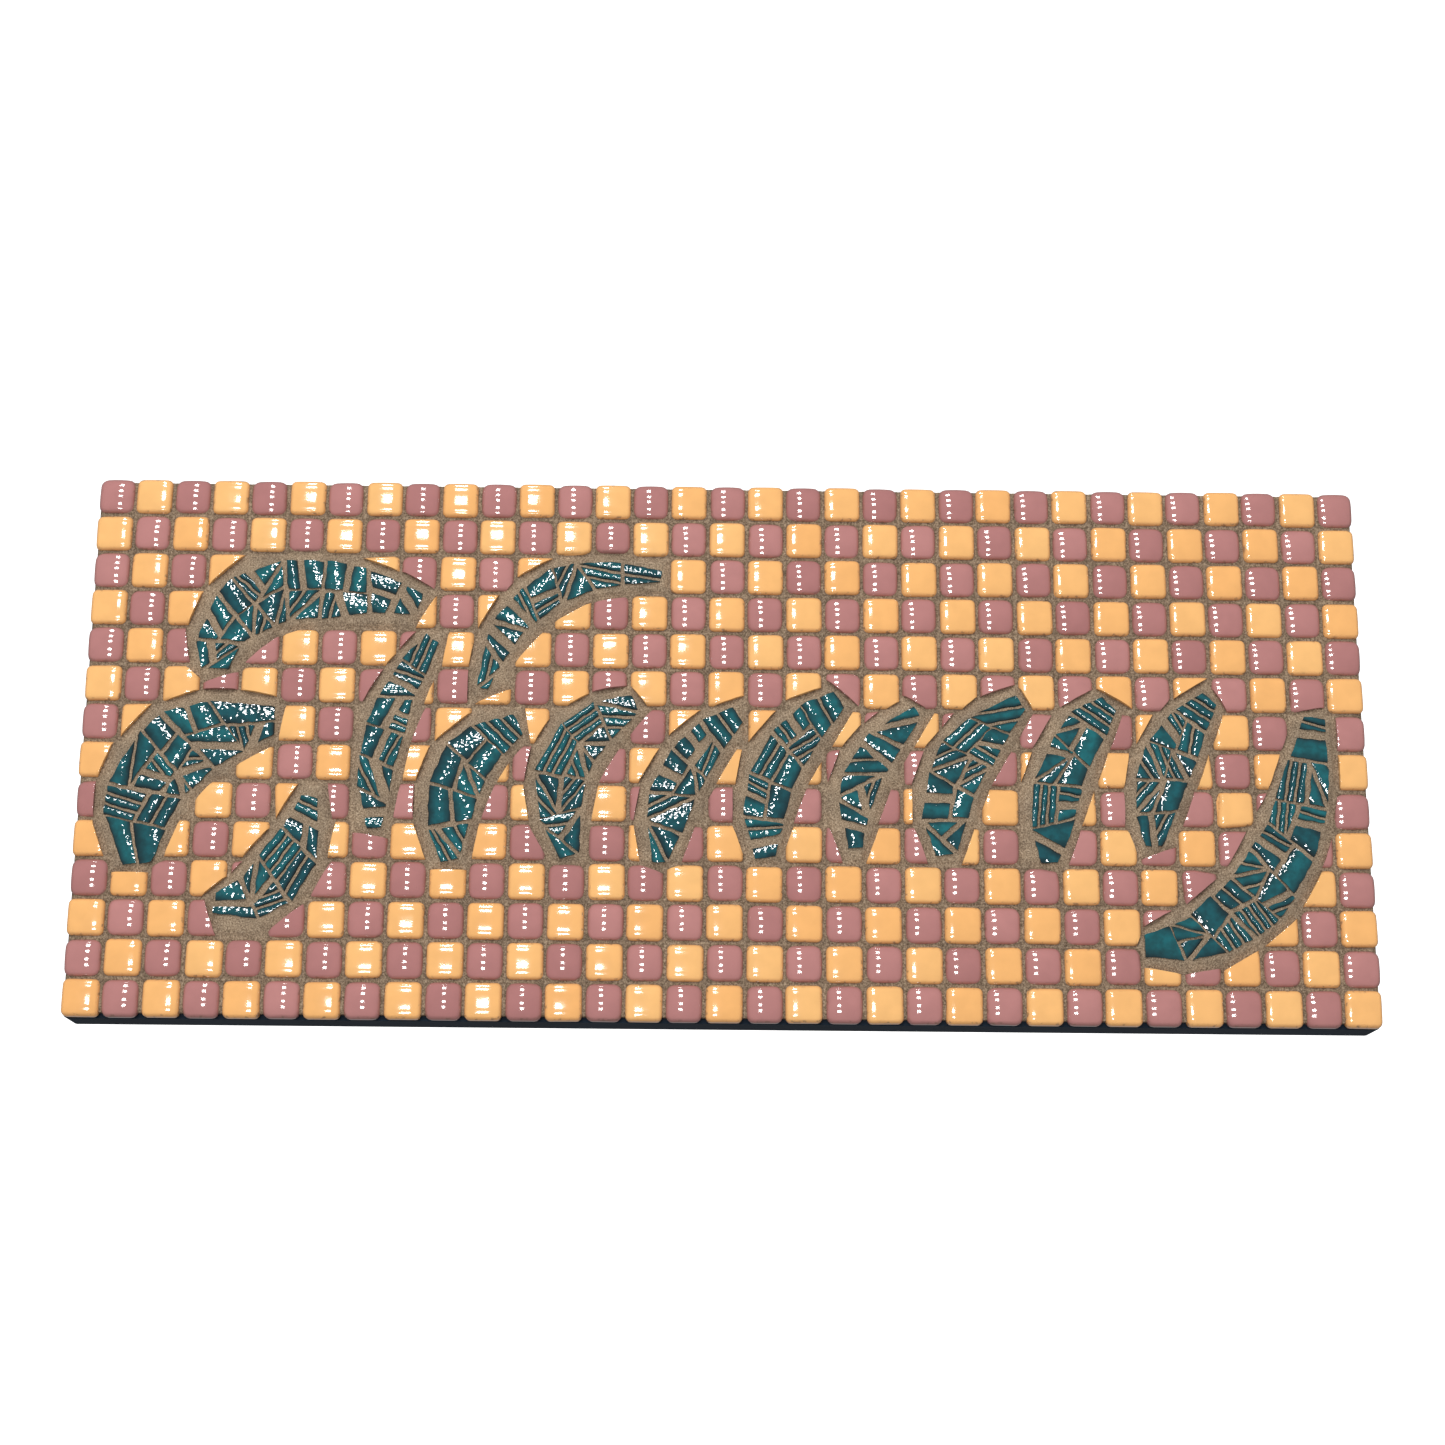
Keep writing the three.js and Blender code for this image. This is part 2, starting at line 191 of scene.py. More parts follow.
def raised_pieces(name):
    """Each piece that stands on a solid's face: its counterclockwise foot and which sides were nipped."""
    points, triangles = node_mesh(name)
    levels = np.unique(points[:, 2].round(2))
    surface, top = levels[-2], levels[-1]

    def loops_at(level):
        there = abs(points[:, 2] - level) < LEVEL_TOLERANCE
        flat = [t for t in triangles if all(there[i] for i in t)]
        return [points[loop, :2] for loop in border_loops(flat)]

    feet = [loop[::-1] for loop in loops_at(surface) if signed_area(loop) < 0]
    found = []
    for crown in loops_at(top):
        foot = min(feet, key=lambda f: np.linalg.norm(f.mean(0) - crown.mean(0)))
        turns = [np.roll(foot, -k, axis=0) for k in range(len(foot))]
        foot = min(turns, key=lambda f: np.linalg.norm(f - crown, axis=1).sum())
        nipped = [side_depth(foot, i, crown[i]) < UPRIGHT_TOLERANCE for i in range(len(foot))]
        found.append({"foot": foot, "nipped": nipped, "surface": surface, "top": top})
    return found


def outward(foot):
    """The outward unit normal of each side of a counterclockwise polygon."""
    along = np.roll(foot, -1, axis=0) - foot
    normal = np.stack([along[:, 1], -along[:, 0]], axis=1)
    return normal / np.linalg.norm(normal, axis=1)[:, None]


def side_depth(foot, i, point):
    """How far a point is inside one side of a polygon."""
    return float(np.dot(foot[i] - point, outward(foot)[i]))


def grown(foot, amounts):
    """A convex polygon with each side moved outwards by its own amount, or inwards if that is negative."""
    normals = outward(foot)
    reach = (foot * normals).sum(1) + amounts
    corners = []
    for i in range(len(foot)):
        pair = np.array([normals[i - 1], normals[i]])
        corners.append(np.linalg.solve(pair, [reach[i - 1], reach[i]]))
    return np.array(corners)


# Gathering meshes


class Surface:
    """A mesh being gathered, with numbers for each point that the materials read."""

    def __init__(self, *attributes):
        self.points = []
        self.faces = []
        self.normals = []
        self.values = {name: [] for name in attributes}

    def add(self, points, faces, normals=(), **values):
        start = len(self.points)
        self.points.extend(map(tuple, points))
        self.normals.extend(map(tuple, normals))
        self.faces.extend(tuple(start + i for i in face) for face in faces)
        for name, value in values.items():
            self.values[name].extend(np.broadcast_to(value, len(points)).tolist())

    def finish(self, name, material, slot, sharp_angle=None):
        """The piece, shaded by its own normals, or with creases where faces meet at a sharper angle."""
        mesh = bpy.data.meshes.new(name)
        mesh.from_pydata(to_world(self.points).tolist(), [], self.faces)
        for key, values in self.values.items():
            mesh.attributes.new(key, "FLOAT", "POINT").data.foreach_set("value", values)
        mesh.shade_smooth()
        if sharp_angle is None:
            mesh.normals_split_custom_set_from_vertices((to_world(self.normals) / MM).tolist())
        else:
            mesh.set_sharp_from_angle(angle=math.radians(sharp_angle))
        mesh.materials.append(material)
        piece = bpy.data.objects.new(name, mesh)
        bpy.context.scene.collection.objects.link(piece)
        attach(piece, "root")
        return piece


def ring_faces(count, rings):
    """Quads between rings of count points each, listed one ring after another from the outside in."""
    return [
        (r * count + i, r * count + (i + 1) % count, (r + 1) * count + (i + 1) % count, (r + 1) * count + i)
        for r in range(rings - 1)
        for i in range(count)
    ]


# Glazed tiles


def tile_border(foot, nipped, corner, rim):
    """Points round a tile's foot, with their outward normals and the rim radius up to the next point.

    Corners between two factory sides are rounded, and nipped sides are a little uneven.
    """
    normals = outward(foot)
    count = len(foot)
    border = []

    def put(point, normal, radius):
        border.append((*point, *normal, radius))

    def trimmed(i):
        """How much of a side its rounded corner takes, at the corner where side i starts."""
        if nipped[i] or nipped[i - 1]:
            return 0
        last, following = foot[i - 1], foot[(i + 1) % count]
        shorter = min(np.linalg.norm(foot[i] - last), np.linalg.norm(following - foot[i]))
        return min(corner, LARGEST_CORNER * shorter)

    for i in range(count):
        a, b = foot[i], foot[(i + 1) % count]
        before, here = normals[i - 1], normals[i]
        cut = trimmed(i)
        length = np.linalg.norm(b - a)
        along = (b - a) / length
        if cut:
            middle = a + along * cut - here * cut
            first = math.atan2(before[1], before[0])
            turn = (math.atan2(here[1], here[0]) - first) % (2 * math.pi)
            for k in range(CORNER_STEPS + 1):
                angle = first + turn * k / CORNER_STEPS
                normal = np.array([math.cos(angle), math.sin(angle)])
                put(middle + cut * normal, normal, rim)
        else:
            put(a, (before + here) / np.linalg.norm(before + here), NIPPED_RIM if nipped[i] else rim)
        start, end = cut, length - trimmed((i + 1) % count)
        steps = max(1, round((end - start) / (NIPPED_STEP if nipped[i] else SIDE_STEP)))
        for k in range(1, steps):
            place = a + along * (start + (end - start) * k / steps)
            if nipped[i]:
                put(place - here * rng.uniform(0, NIPPED_STRAY), here, NIPPED_RIM)
            else:
                put(place, here, rim)
    border = np.array(border)
    return border[:, :2], border[:, 2:4], border[:, 4]


def add_tile(surface, piece, centre, look, field):
    """A tile as rings on a straight wall, with the crown of the whole tile even where it was nipped."""
    nipped = np.array(piece["nipped"])
    grow = abs(outward(piece["foot"])) @ look["grow"]
    foot = np.clip(grown(piece["foot"], np.where(nipped, 0, grow)), -field, field)
    border, border_normals, rims = tile_border(foot, nipped, look["corner"], look["rim"])
    border = np.clip(border, -field, field)
    glazed = rims > NIPPED_RIM
    anchors = np.vstack([border[glazed], foot[nipped]])
    normals = np.vstack([outward(border)[glazed], outward(foot)[nipped]])
    radii = np.concatenate([rims[glazed], np.full(nipped.sum(), NIPPED_RIM)])
    lean = np.array([rng.gauss(0, TILE_TILT), rng.gauss(0, TILE_TILT)])
    level = piece["top"] - rng.uniform(0, TILE_SINK) - abs(lean).sum() * LEAN_REACH

    def depths(plan):
        return ((anchors - plan[:, None]) * normals).sum(2)

    def height(plan):
        rounding = np.clip(1 - depths(plan) / radii, 0, 1)
        drop = (radii * (1 - np.sqrt(1 - rounding**2))).max(1)
        off = plan - centre
        crown = (off**2).sum(1) / (2 * look["dome"]) + look["cushion"] * (off**4).sum(1)
        return level - drop - crown + off @ lean

    heart = foot.mean(0)
    inwards = heart - border
    reach = np.linalg.norm(inwards, axis=1)
    facing = np.clip(-(inwards * border_normals).sum(1) / reach, LEAST_FACING, 1)
    rim_share = [np.minimum(rims * (1 - math.sin(a)) / facing / reach, WIDEST_RIM) for a in RIM_ANGLES]
    crown_share = [rim_share[-1] + (1 - rim_share[-1]) * s for s in CROWN_RINGS]
    rings = [border + inwards * share[:, None] for share in rim_share + crown_share]
    plan = np.vstack(rings + [heart[None]])

    steps = SLOPE_STEP * np.eye(2)
    slopes = [(height(plan + step) - height(plan - step)) / (2 * SLOPE_STEP) for step in steps]
    facings = np.column_stack([-slopes[0], -slopes[1], np.ones(len(plan))])
    facings /= np.linalg.norm(facings, axis=1)[:, None]
    count = len(border)
    facings[:count] = np.column_stack([border_normals, np.zeros(count)])
    facings = np.vstack([facings[:count], facings])

    bottom = np.full(count, piece["surface"] - WALL_BELOW_GROUT)
    points = np.vstack([np.column_stack([border, bottom]), np.column_stack([plan, height(plan)])])
    ring_count = len(rings) + 1
    last = (ring_count - 1) * count
    faces = ring_faces(count, ring_count)
    faces += [(last + i, last + (i + 1) % count, len(points) - 1) for i in range(count)]
    # 1 on the wall and at a glazed rim, 0 from RIM_SHADE in: where pooled glaze, grime and painted shade go
    from_rim = np.min(depths(plan)[:, : glazed.sum()], axis=1, initial=RIM_SHADE)
    shade = np.concatenate([np.ones(count), np.clip(1 - from_rim / RIM_SHADE, 0, 1)])
    surface.add(points, faces, facings, tone=rng.random(), rim=shade)
    return foot


# Ribbed teal pieces


def halved(foot, point, normal):
    """The part of a convex polygon on the side of a line that the normal points to."""
    height = (foot - point) @ normal
    kept = []
    for i in range(len(foot)):
        j = (i + 1) % len(foot)
        if height[i] >= 0:
            kept.append(foot[i])
        if (height[i] >= 0) != (height[j] >= 0):
            kept.append(foot[i] + (foot[j] - foot[i]) * height[i] / (height[i] - height[j]))
    return np.array(kept)


def slab(foot, direction, low, high):
    """The part of a convex polygon between two distances along a direction, which may have no area."""
    part = halved(foot, direction * low, direction)
    return halved(part, direction * high, -direction) if len(part) > 2 else part


def strayed(point):
    """A point in plan, moved a little so that no broken edge is straight."""
    x, y = point / BROKEN_STRAY_SIZE
    return point + BROKEN_STRAY * np.array(noise.noise_vector((x, y, 0)))[:2]


def longest_side_angle(foot):
    """The direction of a polygon's longest side, in radians."""
    sides = np.roll(foot, -1, axis=0) - foot
    longest = sides[np.argmax(np.linalg.norm(sides, axis=1))]
    return math.atan2(longest[1], longest[0])


def broken_up(foot):
    """A piece broken again and again along straight lines, until no part is large."""
    if signed_area(foot) < SHARD_LARGEST * rng.uniform(*SHARD_LARGEST_SHARES):
        return [foot]
    angle = longest_side_angle(foot) + rng.gauss(0, BREAK_TURN)
    normal = np.array([math.cos(angle), math.sin(angle)])
    middle = foot.mean(0) + rng.gauss(0, BREAK_OFFSET) * normal
    gap = rng.uniform(*SHARD_GAPS)
    parts = [halved(foot, middle + n * gap / 2, n) for n in (normal, -normal)]
    kept = [part for part in parts if len(part) > 2 and signed_area(part) > SHARD_SMALLEST]
    return [bit for part in kept for bit in broken_up(part)]


def add_shard(surface, foot, surface_level, top):
    """A broken bit of ribbed tile, with its ribs mostly along its longest side."""
    angle = longest_side_angle(foot) + math.pi / 2 + rng.gauss(0, RIB_TURN)
    across = np.array([math.cos(angle), math.sin(angle)])
    low, high = (foot @ across).min(), (foot @ across).max()
    count = max(1, round((high - low) / rng.choice(RIB_PITCHES)))
    width = (high - low) / count
    tone = rng.random()
    for k in range(count):
        start = low + k * width + (RIB_GROOVE / 2 if k else 0)
        end = low + (k + 1) * width - (RIB_GROOVE / 2 if k < count - 1 else 0)
        rib = slab(foot, across, start, end)
        if len(rib) > 2 and signed_area(rib) > SMALLEST_RIB:
            add_rib(surface, rib, across, (start, end), surface_level, top, tone)


def add_rib(surface, foot, across, reach, surface_level, top, tone):
    """A half-round bar cut off as its foot is, with a wall round it."""
    start, end = reach
    edge_level = surface_level + SHARD_EDGE
    points, index, faces, flanks = [], {}, [], []

    def corner(p):
        key = (round(p[0], 3), round(p[1], 3))
        if key not in index:
            # how far out from the crest a point lies, which sets its painted shade
            off = abs(2 * (p @ across - start) / (end - start) - 1)
            crest = max(0, 1 - off**RIB_FULLNESS) ** (1 / RIB_FULLNESS)
            index[key] = len(points)
            points.append((*strayed(p), edge_level + (top - edge_level) * crest))
            flanks.append(off)
        return index[key]

    cuts = [start + (end - start) * share for share in RIB_PROFILE]
    along = np.array([-across[1], across[0]])
    ends = (foot @ along).min(), (foot @ along).max()
    slices = np.linspace(*ends, max(2, round((ends[1] - ends[0]) / RIB_SLICE) + 1))
    for low, high in zip(cuts, cuts[1:]):
        band = slab(foot, across, low, high)
        for near, far in zip(slices, slices[1:]):
            face = [corner(p) for p in slab(band, along, near, far)] if len(band) > 2 else []
            face = [a for a, b in zip(face, face[1:] + face[:1]) if a != b]
            if len(face) > 2:
                faces.append(tuple(face))
    edges = {(f[i], f[(i + 1) % len(f)]) for f in faces for i in range(len(f))}
    rim = sorted((a, b) for a, b in edges if (b, a) not in edges)
    below = {a: len(points) + k for k, (a, _) in enumerate(rim)}
    walls = [(a, below[a], below[b], b) for a, b in rim]
    points += [(points[a][0], points[a][1], surface_level - SHARD_FOOT) for a, _ in rim]
    # the walls take the darkest painted shade
    flanks += [1] * len(rim)
    surface.add(points, faces + walls, flank=flanks, tone=tone)


# Grout


def distance_to(polygons, u, v, reach):
    """Distances of a grid's points outside the nearest polygon, negative inside it and at most reach."""
    nearest = np.full((len(v), len(u)), float(reach))
    for foot in polygons:
        low, high = foot.min(0) - reach, foot.max(0) + reach
        i0, i1 = np.searchsorted(u, (low[0], high[0]))
        j0, j1 = np.searchsorted(v, (low[1], high[1]))
        x, y = np.meshgrid(u[i0:i1], v[j0:j1])
        normals = outward(foot)
        outside = np.max([(x - a[0]) * n[0] + (y - a[1]) * n[1] for a, n in zip(foot, normals)], axis=0)
        nearest[j0:j1, i0:i1] = np.minimum(nearest[j0:j1, i0:i1], outside)
    return nearest


def smoothstep(low, high, x):
    t = np.clip((x - low) / (high - low), 0, 1)
    return t * t * (3 - 2 * t)


def noise_over(x, y, size):
    """Smooth noise for each point of a grid, with blotches about this many millimetres across."""
    return np.array([noise.noise((a / size, b / size, 0)) for a, b in zip(x.flat, y.flat)])


def grid_lines(low, high, joint, pitch):
    """The places of a grid's lines between two ends, closer together in the joints."""
    before, after = math.floor((low - joint) / pitch), math.ceil((high - joint) / pitch)
    joints = joint + pitch * np.arange(before, after + 1)
    lines = np.concatenate([joints + sign * pitch * share for share in GROUT_LINES for sign in (-1, 1)])
    inside = lines[(lines > low + EDGE_CLEAR) & (lines < high - EDGE_CLEAR)]
    edges = [end + way * EDGE_ROUND * share for end, way in ((low, 1), (high, -1)) for share in EDGE_LINES]
    return np.unique(np.concatenate([inside, edges]).round(3))


def add_grout(surface, tiles, u, v, level, bed_level):
    """The grout's face as a grid with hollow joints and fuller islands, and a skirt down to the board."""
    tile_gap = distance_to(tiles, u, v, GROUT_REACH)
    x, y = np.meshgrid(u, v)
    waves = noise_over(x, y, GROUT_WAVE_SIZE)
    island = smoothstep(*ISLAND_EDGE, tile_gap)
    height = level + JOINT_LEVEL + MENISCUS * np.exp(-((np.maximum(tile_gap, 0) / MENISCUS_REACH) ** 2))
    height = height + island * (ISLAND_RISE + GROUT_WAVE * waves.reshape(x.shape))
    edge = np.min([x - u[0], u[-1] - x, y - v[0], v[-1] - y], axis=0)
    height -= EDGE_DROP * (1 - smoothstep(0, EDGE_ROUND, edge))

    rows, columns = x.shape
    hidden = tile_gap < -UNSEEN_UNDER_TILE
    points = np.column_stack([x.ravel(), y.ravel(), height.ravel()])
    number = np.arange(rows * columns).reshape(rows, columns)
    corners = [number[:-1, :-1], number[:-1, 1:], number[1:, 1:], number[1:, :-1]]
    unseen = np.all([hidden.ravel()[c] for c in corners], axis=0)
    faces = [tuple(f) for f in np.stack([c[~unseen] for c in corners], axis=1).tolist()]
    rim = np.concatenate([number[0, :-1], number[:-1, -1], number[-1, :0:-1], number[:0:-1, 0]])
    skirt = points[rim].copy()
    skirt[:, 2] = bed_level
    below = np.arange(len(rim)) + len(points)
    faces += list(zip(rim, below, np.roll(below, -1), np.roll(rim, -1)))
    used = np.unique([i for f in faces for i in f])
    renumber = np.full(len(points) + len(rim), -1)
    renumber[used] = np.arange(len(used))
    kept = np.vstack([points, skirt])[used]
    # Openness is low close to the tiles, where the grout has dirt and painted shade.
    stray = OPEN_STRAY * noise_over(x, y, 1)
    openness = np.append(smoothstep(*OPEN_GROUT, tile_gap.ravel() + stray), np.zeros(len(rim)))
    surface.add(kept, [tuple(int(renumber[i]) for i in f) for f in faces], open=openness[used])


# Materials


class Nodes:
    """A material with its Principled shader, and short calls for adding nodes to it."""

    def __init__(self, name, **sockets):
        self.material = bpy.data.materials.new(name)
        self.material.use_nodes = True
        self.tree = self.material.node_tree
        self.shader = self.tree.nodes["Principled BSDF"]
        for socket, value in sockets.items():
            self.shader.inputs[socket.replace("_", " ")].default_value = value

    def node(self, kind, **inputs):
        made = self.tree.nodes.new(kind)
        for name, value in inputs.items():
            self.feed(made.inputs[name.replace("_", " ")], value)
        return made

    def feed(self, socket, value):
        if isinstance(value, bpy.types.NodeSocket):
            self.tree.links.new(value, socket)
        else:
            socket.default_value = value

    def noise(self, size, detail=2.0, roughness=0.5):
        """Noise whose blotches are about this many millimetres across."""
        where = self.node("ShaderNodeTexCoord").outputs["Object"]
        texture = {"Vector": where, "Scale": 1 / (size * MM), "Detail": detail, "Roughness": roughness}
        return self.node("ShaderNodeTexNoise", **texture).outputs["Fac"]

    def attribute(self, name):
        made = self.tree.nodes.new("ShaderNodeAttribute")
        made.attribute_name = name
        return made.outputs["Fac"]

    def ramp(self, factor, *stops):
        """A colour ramp, from pairs of a position and a linear colour."""
        made = self.node("ShaderNodeValToRGB", Fac=factor)
        elements = made.color_ramp.elements
        while len(elements) < len(stops):
            elements.new(1)
        for element, (position, colour) in zip(elements, stops):
            element.position = position
            element.color = (*colour, 1)
        return made.outputs["Color"]

    def mix(self, factor, a, b, blend="MIX"):
        made = self.tree.nodes.new("ShaderNodeMix")
        made.data_type = "RGBA"
        made.blend_type = blend
        for socket, value in zip((made.inputs[0], made.inputs[6], made.inputs[7]), (factor, a, b)):
            self.feed(socket, value)
        return made.outputs[2]

    def bump(self, height, strength, distance):
        """Relief from a socket between 0 and 1, which stand this many millimetres apart."""
        made = self.node("ShaderNodeBump", Height=height, Strength=strength, Distance=distance * MM)
        self.feed(self.shader.inputs["Normal"], made.outputs["Normal"])

    def colour(self, socket):
        self.feed(self.shader.inputs["Base Color"], socket)
        return self.material


# Dark brown of the grime and painted shade in specks on the tiles' rims and walls.
GRIME_AND_SHADE = (0.2, 0.12, 0.08, 1)


def glaze(name, light, dark, pooled_and_shaded, pooling_and_shade, roughness, waviness):
    """A glossy glaze between a light and a dark colour from tile to tile, darker at the rims and on the
    walls.

    There it has pooled glaze, dark specks of grime and painted shade. Pooling and shade is how much of the
    pooled and shaded colour it has 2, 1.2 and 0.5 mm from the rim.
    """
    nodes = Nodes(name, Roughness=roughness, IOR=1.52)
    base = nodes.ramp(nodes.attribute("tone"), (0, dark), (1, light))
    mottle = nodes.ramp(nodes.noise(size=5), (0.3, (0.95,) * 3), (0.7, (1.03,) * 3))
    rim = nodes.attribute("rim")
    amounts = [(position, (amount,) * 3) for position, amount in zip((0.15, 0.5, 0.8, 1), (*pooling_and_shade, 1))]
    # Pooled glaze and painted shade, darkening towards the rims and over the walls.
    edged = nodes.mix(nodes.ramp(rim, *amounts), base, (*pooled_and_shaded, 1))
    specks = nodes.ramp(nodes.noise(size=1.6, detail=3), (0.56, (0,) * 3), (0.68, (0.7,) * 3))
    # Dark specks of grime and painted shade on the outer rims and the walls.
    grime_and_shade_mask = nodes.mix(nodes.ramp(rim, (0.65, (0,) * 3), (0.87, (1,) * 3)), (0, 0, 0, 1), specks)
    nodes.bump(nodes.noise(size=3.5, detail=1), strength=waviness, distance=0.08)
    glazed = nodes.mix(1.0, edged, mottle, "MULTIPLY")
    return nodes.colour(nodes.mix(grime_and_shade_mask, glazed, GRIME_AND_SHADE))


def teal_glaze():
    """Painted light on the crests of the ribs, and painted shade on their flanks and walls."""
    nodes = Nodes("teal_glaze", Roughness=0.045, IOR=1.6)
    # Painted light and shade: a rib's crest, flank and wall colours, darker the farther out on its flank.
    crest, flank, edge = (0.004, 0.105, 0.125), (0.003, 0.055, 0.068), (0.002, 0.016, 0.021)
    across = nodes.ramp(nodes.attribute("flank"), (0.3, crest), (0.72, flank), (0.97, edge))
    shade = nodes.ramp(nodes.attribute("tone"), (0, (0.6, 0.62, 0.66)), (1, (1.15, 1.2, 1.15)))
    toned = nodes.mix(1.0, across, shade, "MULTIPLY")
    streaks = nodes.ramp(nodes.noise(size=2.2, detail=3), (0.35, (0.75,) * 3), (0.65, (1.2,) * 3))
    nodes.bump(nodes.noise(size=1.2, detail=0), strength=1, distance=0.13)
    return nodes.colour(nodes.mix(1.0, toned, streaks, "MULTIPLY"))


def sanded_grout():
    """Sandy, and darker close to the tiles, with dirt and painted shade there."""
    nodes = Nodes("sanded_grout", Roughness=0.95, IOR=1.4)
    grain = nodes.noise(size=0.42, detail=3, roughness=0.65)
    dark, middling, light = (0.13, 0.09, 0.06), (0.33, 0.235, 0.165), (0.58, 0.44, 0.33)
    sand = nodes.ramp(grain, (0.32, dark), (0.5, middling), (0.68, light))
    patches = nodes.ramp(nodes.noise(size=7, detail=3), (0.3, (0.8, 0.8, 0.8)), (0.7, (1.12, 1.1, 1.06)))
    # Painted shade and dirt: darker where the grout is close to a tile, as in the narrow joints.
    shade_and_dirt = nodes.ramp(nodes.attribute("open"), (0, (0.62, 0.6, 0.56)), (1, (0.96, 0.99, 0.95)))
    nodes.bump(grain, strength=0.9, distance=0.3)
    return nodes.colour(nodes.mix(1.0, nodes.mix(1.0, sand, patches, "MULTIPLY"), shade_and_dirt, "MULTIPLY"))


def board_paint():
    nodes = Nodes("board_paint", Roughness=0.8, Specular_IOR_Level=0.15)
    dark, light = (0.009, 0.016, 0.027), (0.016, 0.028, 0.046)
    paint = nodes.ramp(nodes.noise(size=26, detail=3), (0.2, dark), (0.8, light))
    nodes.bump(nodes.noise(size=1.1, detail=3), strength=0.3, distance=0.1)
    return nodes.colour(paint)


def pale(name, grey, roughness, glow):
    """A plain grey that also gives light of its own."""
    colour = (grey, grey, grey, 1)
    shining = {"Emission_Color": colour, "Emission_Strength": glow}
    return Nodes(name, Base_Color=colour, Roughness=roughness, **shining).material


# The panel

row_nodes = sorted(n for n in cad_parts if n.startswith("tile_row_"))
stroke_nodes = sorted(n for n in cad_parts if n.startswith("teal_stroke_"))
rows = [raised_pieces(name) for name in row_nodes]
whole_row = sorted(piece["foot"].mean(0)[0] for piece in rows[0])
pitch, first = np.polyfit(range(len(whole_row)), whole_row, 1)

pink, apricot = Surface("tone", "rim"), Surface("tone", "rim")
tile_feet = []
field_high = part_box(row_nodes[0])[1]
field = np.array([field_high.x, field_high.z]) / MM
row_middles = [sum(corner.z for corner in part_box(name)) / 2 / MM for name in row_nodes]
row_pitch = (row_middles[0] - row_middles[-1]) / (len(row_nodes) - 1)
for r, (middle, pieces) in enumerate(zip(row_middles, rows)):
    for piece in pieces:
        column = round((piece["foot"].mean(0)[0] - first) / pitch)
        centre = np.array([first + column * pitch, middle])
        surface, look = (apricot, APRICOT) if (r + column) % 2 else (pink, PINK)
        tile_feet.append(add_tile(surface, piece, centre, look, field))
pink_glaze = glaze(
    "pink_glaze",
    light=(0.53, 0.238, 0.224),
    dark=(0.44, 0.188, 0.18),
    pooled_and_shaded=(0.35, 0.15, 0.135),
    pooling_and_shade=(0, 0.1, 0.4),
    roughness=0.06,
    waviness=0.02,
)
apricot_glaze = glaze(
    "apricot_glaze",
    light=(0.98, 0.55, 0.205),
    dark=(0.95, 0.485, 0.168),
    pooled_and_shaded=(0.85, 0.42, 0.15),
    pooling_and_shade=(0, 0, 0.4),
    roughness=0.09,
    waviness=0.35,
)
pink_tiles = pink.finish("pink_tiles", pink_glaze, "pink_tile")
apricot_tiles = apricot.finish("apricot_tiles", apricot_glaze, "apricot_tile")
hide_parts(*row_nodes[::2])
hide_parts(*row_nodes[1::2])

teal = Surface("flank", "tone")
for name in stroke_nodes:
    for piece in raised_pieces(name):
        for whole in broken_up(grown(piece["foot"], SHARD_SPREAD)):
            foot = grown(whole, [-rng.uniform(*SHARD_SHRINK) for _ in whole])
            add_shard(teal, foot, piece["surface"], piece["top"] + SHARD_TOP)
teal_pieces = teal.finish("teal_pieces", teal_glaze(), "teal_tile", sharp_angle=50)
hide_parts(*stroke_nodes)

low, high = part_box("grout_bed")
left, right = low.x / MM + GROUT_INSET, high.x / MM - GROUT_INSET
bottom, top = low.z / MM + GROUT_INSET_BELOW, high.z / MM - GROUT_INSET
columns = grid_lines(left, right, first + pitch / 2, pitch)
lines = grid_lines(bottom, top, row_middles[0] + row_pitch / 2, row_pitch)
grout_surface = Surface("open")
add_grout(grout_surface, tile_feet, columns, lines, level=-low.y / MM, bed_level=-high.y / MM)
grout = grout_surface.finish("grout", sanded_grout(), "grout", sharp_angle=60)
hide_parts("grout_bed")

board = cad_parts["backing_board"]
board.data.materials.clear()
board.data.materials.append(board_paint())


# The studio


def stage_plane(name, location, rotation, material):
    """A plane behind or under the panel, which neither lights it nor shows in its glazes."""
    mesh = bpy.data.meshes.new(name)
    half = STAGE_SIZE / 2
    corners = [(-half, -half, 0), (half, -half, 0), (half, half, 0), (-half, half, 0)]
    mesh.from_pydata(corners, [], [(0, 1, 2, 3)])
    mesh.materials.append(material)
    plane = bpy.data.objects.new(name, mesh)
    plane.location = location
    plane.rotation_euler = rotation
    plane.visible_diffuse = False
    plane.visible_glossy = False
    bpy.context.scene.collection.objects.link(plane)


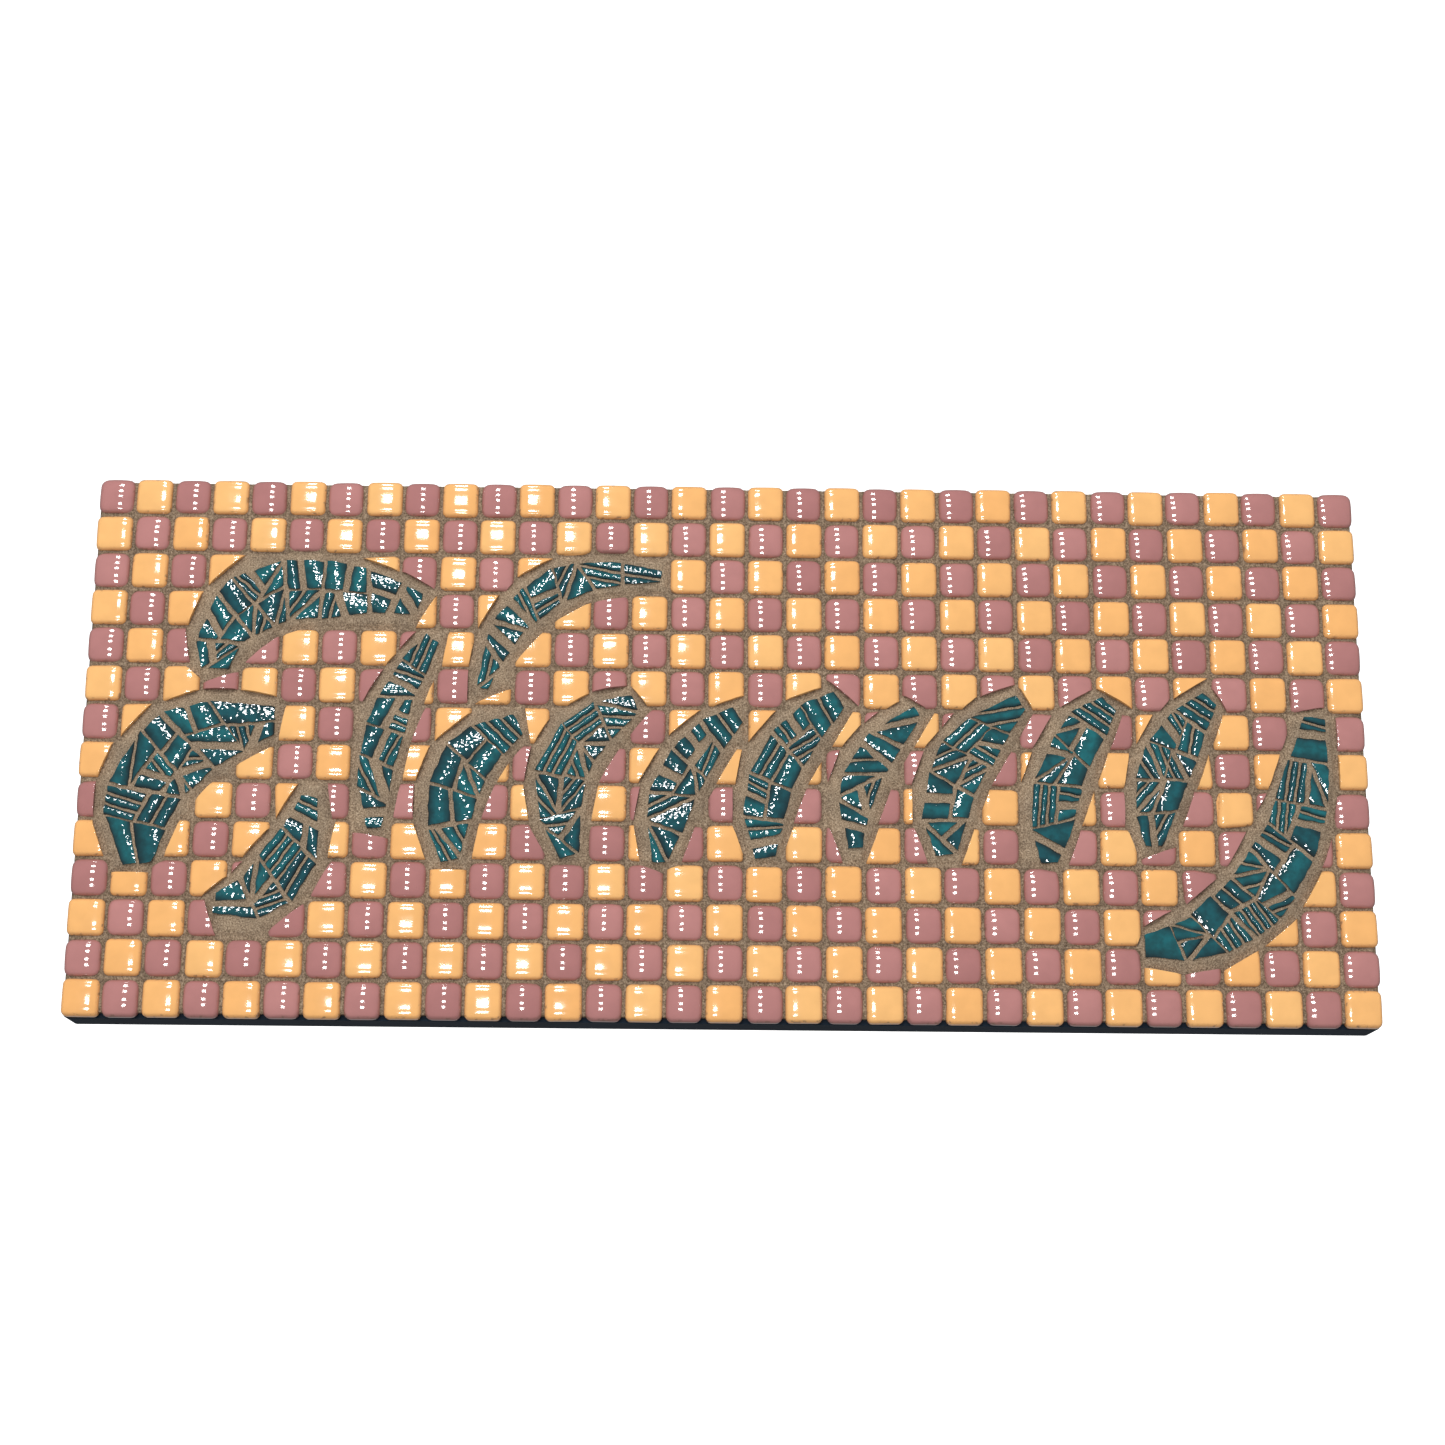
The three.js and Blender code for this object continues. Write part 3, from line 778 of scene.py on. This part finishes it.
pale_floor = pale("pale_floor", 0.86, roughness=0.8, glow=0.5)
pale_backdrop = pale("pale_backdrop", 0.95, roughness=0.9, glow=1)
stage_plane("floor", (0, 0, FLOOR_HEIGHT), (0, 0, 0), pale_floor)
stage_plane("backdrop", (0, BACKDROP_DISTANCE, 0), (math.pi / 2, 0, 0), pale_backdrop)

world = bpy.data.worlds.new("studio")
world.use_nodes = True
world.node_tree.nodes["Background"].inputs["Color"].default_value = (1, 1, 1, 1)
world.node_tree.nodes["Background"].inputs["Strength"].default_value = WORLD_LIGHT
bpy.context.scene.world = world
bpy.context.scene.view_settings.view_transform = "Standard"


def add_lamp(name, elevation):
    """A lamp that faces the panel from so many degrees above its front."""
    data = bpy.data.lights.new(name, "AREA")
    data.shape = "RECTANGLE"
    data.size, data.size_y = LAMP_SIZE
    data.energy = LAMP_POWER
    light = bpy.data.objects.new(name, data)
    angle = math.radians(elevation)
    light.location = Vector((LAMP_ASIDE, -LAMP_DISTANCE * math.cos(angle), LAMP_DISTANCE * math.sin(angle)))
    light.rotation_euler = (-light.location).to_track_quat("-Z", "Y").to_euler()
    bpy.context.scene.collection.objects.link(light)


for i, elevation in enumerate(LAMP_ELEVATIONS):
    add_lamp(f"lamp_{i + 1}", elevation)

turns = ((CAMERA_ROLL, "Z"), (CAMERA_YAW, "Y"), (CAMERA_TILT, "X"))
roll, yaw, tilt = [Matrix.Rotation(angle, 3, axis) for angle, axis in turns]
turn = (roll @ yaw @ tilt).transposed()
tile_top = rows[0][0]["top"]
camera_place = Vector((*CAMERA_AIM, tile_top)) + turn @ Vector((0, 0, CAMERA_DISTANCE))
camera_data = bpy.data.cameras.new("camera")
camera_data.sensor_width = SENSOR
camera_data.lens = FOCAL_LENGTH * SENSOR / PHOTO_SIZE
camera = bpy.data.objects.new("camera", camera_data)
camera_facing = (PANEL_TO_WORLD @ turn).to_quaternion()
camera.matrix_world = Matrix.LocRotScale(PANEL_TO_WORLD @ camera_place * MM, camera_facing, None)
bpy.context.scene.collection.objects.link(camera)
bpy.context.scene.camera = camera
